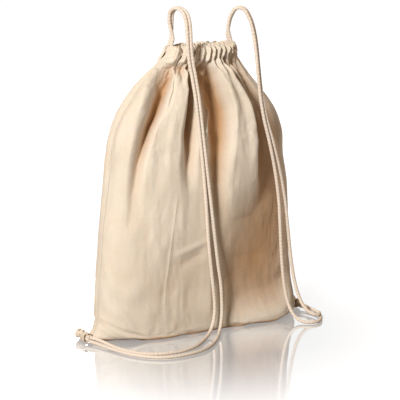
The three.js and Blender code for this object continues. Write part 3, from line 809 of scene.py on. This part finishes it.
def pleats(u, z, front):
    """Narrow gathers along the casing, held by the stitching, fading down the cloth."""
    rng = np.random.default_rng(RNG_SEED + (3 if front else 4))
    edges = np.concatenate([[0], np.cumsum(rng.uniform(0.5, 1.6, PLEATS))])
    edges /= edges[-1]
    start, stop = (0.205, 0.985) if front else (0.04, 0.96)
    # below the casing the gathers on the right of the front lean outward
    lean = 0.035 * smooth(u, 0.5, 0.9) * (1 if front else 0)
    slant = u[None] + lean[None] * (1 - np.clip((z[:, None] - 370) / 30, 0, 1))
    inside = np.clip((slant - start) / (stop - start), 0, 1)
    phase = np.interp(inside, edges, np.arange(PLEATS + 1)) * FULL_TURN
    height = np.interp(inside, edges, rng.uniform(0.65, 1.15, PLEATS + 1))
    lasting = np.interp(inside, edges, rng.uniform(0.0, 1.0, PLEATS + 1))
    shape = (1 - np.abs(np.cos(phase / 2)) ** 1.6) * 2 - 1
    held = window(u, start - 0.01, start + 0.03, stop - 0.03, stop + 0.01)[None]
    casing = smooth(z, 383, 389)[:, None]
    below = smooth(z, 348, 384)[:, None] * (1 - casing)
    out = shape * height * held * (casing * PLEAT_HEIGHT + below * (0.7 + 1.9 * lasting))
    # the row of stitches pulls the cloth in
    out -= 1.2 * bell(z, STITCH_Z, 1.8)[:, None] * held
    if front:
        out -= 7.0 * bell(u, SLIT_AT, 0.011)[None] * smooth(z, 380, 390)[:, None]
    return out


def bump_shift(u, z):
    """The smooth puffed end of the front casing, and the rolled end on the right."""
    uu, zz = u[None], z[:, None]
    left = window(uu, 0.0, 0.10, 0.12, 0.19)
    right = window(uu, 0.88, 0.94, 0.985, 1.0)
    belly = np.clip(1 - ((zz - 399) / 15.5) ** 2, 0, 1) ** 0.5
    # the top of the puffed end is a dome, and the row of stitches climbs to the right
    dome = 1.5 * left - 5 * (1 - smooth(uu, 0.0, 0.06)) - 5 * bell(uu, SLIT_AT, 0.02)
    rise = (dome + 1.5 * smooth(uu, 0.75, 0.95)) * smooth(zz, 388, 402)
    climb = 7 * smooth(uu, 0.5, 0.85) * bell(zz, 387, 11)
    return np.stack([-1.5 * left * belly, (-7.0 * left - 2.5 * right) * belly, rise + climb], -1)


def hem(points, u, front):
    """The cloth turned over the cords: rows of the rim, then of the inner wall of the casing."""
    sign = -1 if front else 1
    outer = points[-1]
    inner_x = MOUTH_X + (outer[:, 0] - MOUTH_X) * 0.93
    casing = casing_y(np.clip(inner_x, MOUTH_LEFT, MOUTH_RIGHT))
    close = window(u, 0.0, 0.035, 0.965, 1.0)
    ripple = outer[:, 1] - blurred(np.tile(outer[:, 1], (3, 1)), 14)[1]
    inner_y = (sign * (casing - 6.6) + ripple * 0.35) * close + outer[:, 1] * (1 - close) * 0.5
    inner = np.stack([inner_x, inner_y, outer[:, 2]], 1)
    middle, half = (outer + inner) / 2, (outer - inner) / 2
    phi = np.linspace(0, math.pi, (30) + 1)[1:, None]
    rim = middle[None] + half[None] * np.cos(phi)[..., None]
    rim[..., 2] += np.sin(phi) * (6.2 + 1.1 * np.clip(-sign * ripple, -2, 2))
    down = np.linspace(0, 16.5, 26)[1:]
    wall = np.repeat(rim[-1][None], len(down), 0)
    wall[..., 2] -= down[:, None]
    return np.concatenate([rim, wall])


def close_sheet(name, points, u, depth, front):
    """Gives a grid of points the cloth's thickness, closed edges, cloth coordinates and the painted shade of its
    folds.
    """
    rows, columns, _ = points.shape
    n = normals_of(points, front)
    for _ in range(2):
        n = unit(np.stack([blurred(n[..., k], 1.0) for k in range(3)], -1))
    both = np.concatenate([points + n * CLOTH_T / 2, points - n * CLOTH_T / 2]).reshape(-1, 3)
    size = rows * columns
    r, c = np.arange(rows - 1) * columns, np.arange(columns - 1)
    end = r + columns - 1
    last = (rows - 1) * columns + c
    faces = np.vstack([
        grid_faces(rows, columns),
        grid_faces(rows, columns, size)[:, ::-1],
        np.stack([r, r + columns, r + columns + size, r + size], 1),
        np.stack([end, end + size, end + columns + size, end + columns], 1),
        np.stack([c, c + size, c + 1 + size, c + 1], 1),
        np.stack([last, last + 1, last + 1 + size, last + size], 1),
    ])
    if not front:
        faces = faces[:, ::-1]
    uv = np.stack(np.meshgrid(u * CUT_WIDE, lengths(points[:, columns // 2]) * 0.001), -1).reshape(-1, 2)
    obj = make_object(name, both, faces, CANVAS, np.vstack([uv, uv + [0.5, 0.0]]),
                      values=("painted_shade", np.tile(depth.ravel(), 2)))
    return obj


front_cloth = cloth_panel("front_cloth", True)
back_cloth = cloth_panel("back_cloth", False)
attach(front_cloth, "bag")
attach(back_cloth, "bag")
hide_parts("front_panel", "front_casing")
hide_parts("back_panel", "back_casing")


# ---------------- stitches, seams and tabs
THREAD_D = 0.62
STITCH_ARCH = np.array([-0.75, -0.1, 0.6, 0.95, 1, 0.95, 0.6, -0.1, -0.75]) * 0.22
OVERLOCK_STEP = 2.6


def sweep(line, side, up, profile, closed=False):
    """Points, quads and cloth coordinates of a closed (across, up) profile swept along a line."""
    rows, n = len(line), len(profile)
    points = line[:, None] + profile[None, :, :1] * side[:, None] + profile[None, :, 1:] * up[:, None]
    faces = grid_faces(rows + 1 if closed else rows, n, wrap=True) % (rows * n)
    if not closed:
        k = np.arange(n // 2 - 1)
        cap = np.stack([k, k + 1, n - 2 - k, n - 1 - k], 1)
        faces = np.vstack([faces, cap[:, ::-1], cap + (rows - 1) * n])
    uv = np.stack(np.meshgrid(lengths(profile), lengths(line)), -1) * 0.001
    return points.reshape(-1, 3), faces, uv.reshape(-1, 2)


def assembled(name, pieces, material, replaced=None):
    """One object of several swept pieces, riding on the sack."""
    points, faces, uv = zip(*pieces)
    bases = np.cumsum([0] + [len(some) for some in points[:-1]])
    faces = np.vstack([some + base for some, base in zip(faces, bases)])
    obj = make_object(name, np.vstack(points), faces, material, np.vstack(uv))
    shape = bmesh.new()
    shape.from_mesh(obj.data)
    bmesh.ops.recalc_face_normals(shape, faces=shape.faces)
    shape.to_mesh(obj.data)
    shape.free()
    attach(obj, "bag")
    if replaced:
        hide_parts(replaced)


def thread(line, diameter=THREAD_D, around=8):
    """A thin thread along a line."""
    _, n, b = frames(line)
    angle = np.linspace(0, FULL_TURN, around, endpoint=False)
    return sweep(line, n, b, np.stack([np.cos(angle), np.sin(angle)], 1) * diameter / 2)


def stitches(line, up, length, gap):
    """Short threads that come up through the cloth, lie on it and go down again."""
    s = lengths(line)
    made = []
    for start in np.arange(gap, s[-1] - length, length + gap):
        q = np.linspace(start, start + length, len(STITCH_ARCH))
        made.append(thread(sample(q, s, line) + unit(sample(q, s, up)) * STITCH_ARCH[:, None]))
    return made


def lens(half_width, half_height, n=20):
    """A flat rounded profile."""
    a = (np.arange(n) + 0.5) * FULL_TURN / n
    return np.stack([signed_power(np.cos(a), 0.5) * half_width, signed_power(np.sin(a), 0.5) * half_height], 1)


for cloth_name, stitched in (("front_cloth", "front_casing_stitch"), ("back_cloth", "back_casing_stitch")):
    row_points, row_up = stitch_lines[cloth_name]
    ends = len(row_points) // 60
    row_points, row_up = row_points[ends:-ends], row_up[ends:-ends]
    assembled(cloth_name.replace("cloth", "stitches"), stitches(row_points + row_up * CLOTH_T / 2, row_up, 2.9, 0.9),
              THREAD, stitched)


def selvedge(name, line, inward, replaced, seed):
    """Both raw edges of a seam lying together inside the sack, with the overlock threads round them."""
    rng = np.random.default_rng(seed)
    s = lengths(line)
    lean = 0.2 * np.sin(s / 17 + rng.uniform(0, 6)) + 0.12 * np.sin(s / 6.3 + rng.uniform(0, 6))
    inward = np.tile(inward, (len(line), 1))
    up = np.tile([0.0, 1.0, 0.0], (len(line), 1))
    plies = []
    for ply in (-1, 1):
        half = 3.9 + 0.1 * ply
        middle = line + inward * half + up * (lean + ply * 0.34)[:, None]
        plies.append(sweep(middle, inward, up, lens(half, 0.3)))
    assembled(name, plies, OVERLOCK, replaced)
    turns = np.arange(0, s[-1] / OVERLOCK_STEP, 1 / 14)
    place = np.clip(turns * OVERLOCK_STEP, 0, s[-1])
    turn = turns * FULL_TURN
    across = 5.6 + 2.3 * signed_power(np.cos(turn), 0.6)
    away = np.interp(place, s, lean) + 0.95 * np.sin(turn)
    wrap = sample(place, s, line) + sample(place, s, inward) * across[:, None] + away[:, None] * [0, 1, 0]
    threads = [thread(wrap, 0.5, 6)]
    for offset in (3.3, 2.2):
        for face in (-1, 1):
            run = line + inward * offset + up * (lean + face * 0.74)[:, None]
            threads.extend(stitches(run, up * face, 2.6, 0.6))
    assembled(name + "_threads", threads, THREAD)


def side_line(right):
    """The inner face of the cloth at a side seam, from low to high, and the way inward."""
    column = ring_outline(np.linspace(6.5, 19.4, 260), 9)[:, -1 if right else 0]
    column = column[(column[:, 2] > 46) & (column[:, 2] < 378)]
    toward = -1.0 if right else 1.0
    return column * [1, 0, 1] + [toward * 2.3, 0, 0], [toward, 0.0, 0.0]


selvedge("left_selvedge", *side_line(False), "left_side_seam", 21)
selvedge("right_selvedge", *side_line(True), "right_side_seam", 22)
bottom_x = np.linspace(-150, 130, 240)
bottom_line = np.stack([bottom_x, 0 * bottom_x, 0 * bottom_x + 1.3], 1)
selvedge("bottom_selvedge", bottom_line, [0.0, 0.0, 1.0], "bottom_seam", 23)


def corner_tab(name, root, toward, replaced):
    """A folded canvas strip, looped, stitched along both edges and bar-tacked where it leaves the seam."""
    centre = np.array([root[0] + toward * 6.5, root[1], root[2] + 6.65])
    angle = np.linspace(0, FULL_TURN, 120, endpoint=False)
    x = toward * signed_power(np.cos(angle), 2 / 3.4) * 5.8
    z = signed_power(np.sin(angle), 2 / 3.4) * 5.95
    line = np.stack([x, 0.35 * np.sin(angle * 2), z], 1) + centre
    along = np.gradient(np.vstack([line[-1], line, line[0]]), axis=0)[1:-1]
    side = np.tile([0.0, 1.0, 0.0], (len(line), 1))
    up = unit(np.cross(side, along))
    if np.dot(up[0], line[0] - centre) < 0:
        up = -up
    # profile: two plies, fatter at the folded edges, sunk along the stitch lines
    a = (np.arange(44) + 0.5) * FULL_TURN / 44
    across = signed_power(np.cos(a), 0.45)
    thick = 0.50 + 0.14 * bell(np.abs(across), 0.93, 0.08) - 0.12 * bell(np.abs(across), 0.74, 0.05)
    profile = np.stack([across * 6.0, signed_power(np.sin(a), 0.5) * thick], 1)
    assembled(name, [sweep(line, side, up, profile, closed=True)], FOLDED, replaced)
    # rows of stitches along both edges, except underneath
    lifted = line + up * 0.42
    order = np.roll(np.arange(len(line)), -int(np.argmin(lifted[:, 2])))
    order = order[lifted[order, 2] > root[2] + 2.0]
    made = []
    for offset in (-4.4, 4.4):
        made.extend(stitches(lifted[order] + side[order] * offset, up[order], 2.4, 0.8))
    # bar tack: a dense row of threads across the strip, next to the seam
    tack_x = root[0] + toward * np.linspace(1.9, 4.3, 7)
    tack_z = root[2] + 12.75 + np.array([-0.5, 0.25, 0.42, 0.46, 0.42, 0.25, -0.5])
    for y in root[1] + np.linspace(-4.2, 4.2, 20):
        made.append(thread(np.stack([tack_x, y + np.linspace(0, 0.44, 7), tack_z], 1), 0.5, 6))
    assembled(name + "_stitches", made, THREAD)


corner_tab("left_tab", (-177.4, 0.0, 0.3), -1, "left_corner_tab")
corner_tab("right_tab", (163.4, -10.0, 0.3), 1, "right_corner_tab")

# ---------------- strands on the straps
for cord_name in STRANDS:
    cord_line, cord_length = cord_lines[cord_name]
    cord_path = to_metres(cord_line)
    cord_side = cord_name.split("_")[0]
    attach(cord_objects[cord_name], cord_side + "_strap")
    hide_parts(cord_name)

# ---------------- floor and light
# A white floor: it glows white to the camera, takes shadows, mirrors what stands near, and
# lights the underside of the cloth only with a dim warm glow.
floor_mesh = bpy.data.meshes.new("floor")
corners = ((-14, -14), (14, -14), (14, 14), (-14, 14))
floor_mesh.from_pydata([(x, y, -0.0005) for x, y in corners], [], [(0, 1, 2, 3)])
floor_material = bpy.data.materials.new("floor")
graph = Graph(floor_material)
diffuse_ray = graph.add("LightPath").outputs["Is Diffuse Ray"]
floor_shade = graph.add("BsdfPrincipled", {"Base Color": (0.18, 0.18, 0.18), "Roughness": 0.6,
                                           "Specular IOR Level": 0.0}).outputs[0]
floor_glow = graph.add("Emission", {"Strength": 1.0}).outputs[0]
floor_dim = graph.add("Emission", {"Color": (1.0, 0.76, 0.55), "Strength": 0.15}).outputs[0]
floor_seen = graph.add("MixShader", {0: diffuse_ray, 1: floor_glow, 2: floor_dim}).outputs[0]
floor_matt = graph.add("AddShader", {0: floor_shade, 1: floor_seen}).outputs[0]
floor_gloss = graph.add("BsdfGlossy", {"Roughness": 0.06}).outputs[0]
floor_far = graph.add("VectorMath", {0: graph.add("NewGeometry").outputs["Position"], 1: (0.0, -0.02, 0.0)},
                      operation="DISTANCE").outputs["Value"]
floor_fade = graph.add("MapRange", {"Value": floor_far, "From Min": 0.12, "From Max": 0.46,
                                    "To Min": 0.72, "To Max": 0.0}, interpolation_type="SMOOTHSTEP").outputs[0]
floor_mirror = graph.math("MULTIPLY", floor_fade, graph.math("SUBTRACT", 1.0, diffuse_ray))
floor_mix = graph.add("MixShader", {0: floor_mirror, 1: floor_matt, 2: floor_gloss}).outputs[0]
graph.add("OutputMaterial", {0: floor_mix})
floor_mesh.materials.append(floor_material)
link(bpy.data.objects.new("floor", floor_mesh))


def area_light(name, at, to, size, power, colour):
    data = bpy.data.lights.new(name, "AREA")
    data.shape = "RECTANGLE"
    data.size, data.size_y = size
    data.energy = power
    data.color = colour
    aimed(name, data, at, to)


area_light("back", (0.9, 2.6, 1.5), (0, 0, 0.2), (1.6, 1.6), 62, (1.0, 0.95, 0.9))
area_light("key", (-2.5, -1.65, 1.85), (0, 0, 0.25), (0.5, 0.5), 153, (1.0, 0.99, 0.985))
# The studio is seen as white, but lights the sack with a weak warm light.
world = bpy.data.worlds.new("studio")
bpy.context.scene.world = world
graph = Graph(world)
soft = graph.add("Background", {0: (1.0, 0.67, 0.39), 1: 0.24}).outputs[0]
white = graph.add("Background", {0: (1.0, 1.0, 1.0), 1: 1.0}).outputs[0]
diffuse_ray = graph.add("LightPath").outputs["Is Diffuse Ray"]
studio = graph.add("MixShader", {0: diffuse_ray, 1: white, 2: soft}).outputs[0]
graph.add("OutputWorld", {0: studio})
bpy.context.scene.view_settings.view_transform = "Standard"
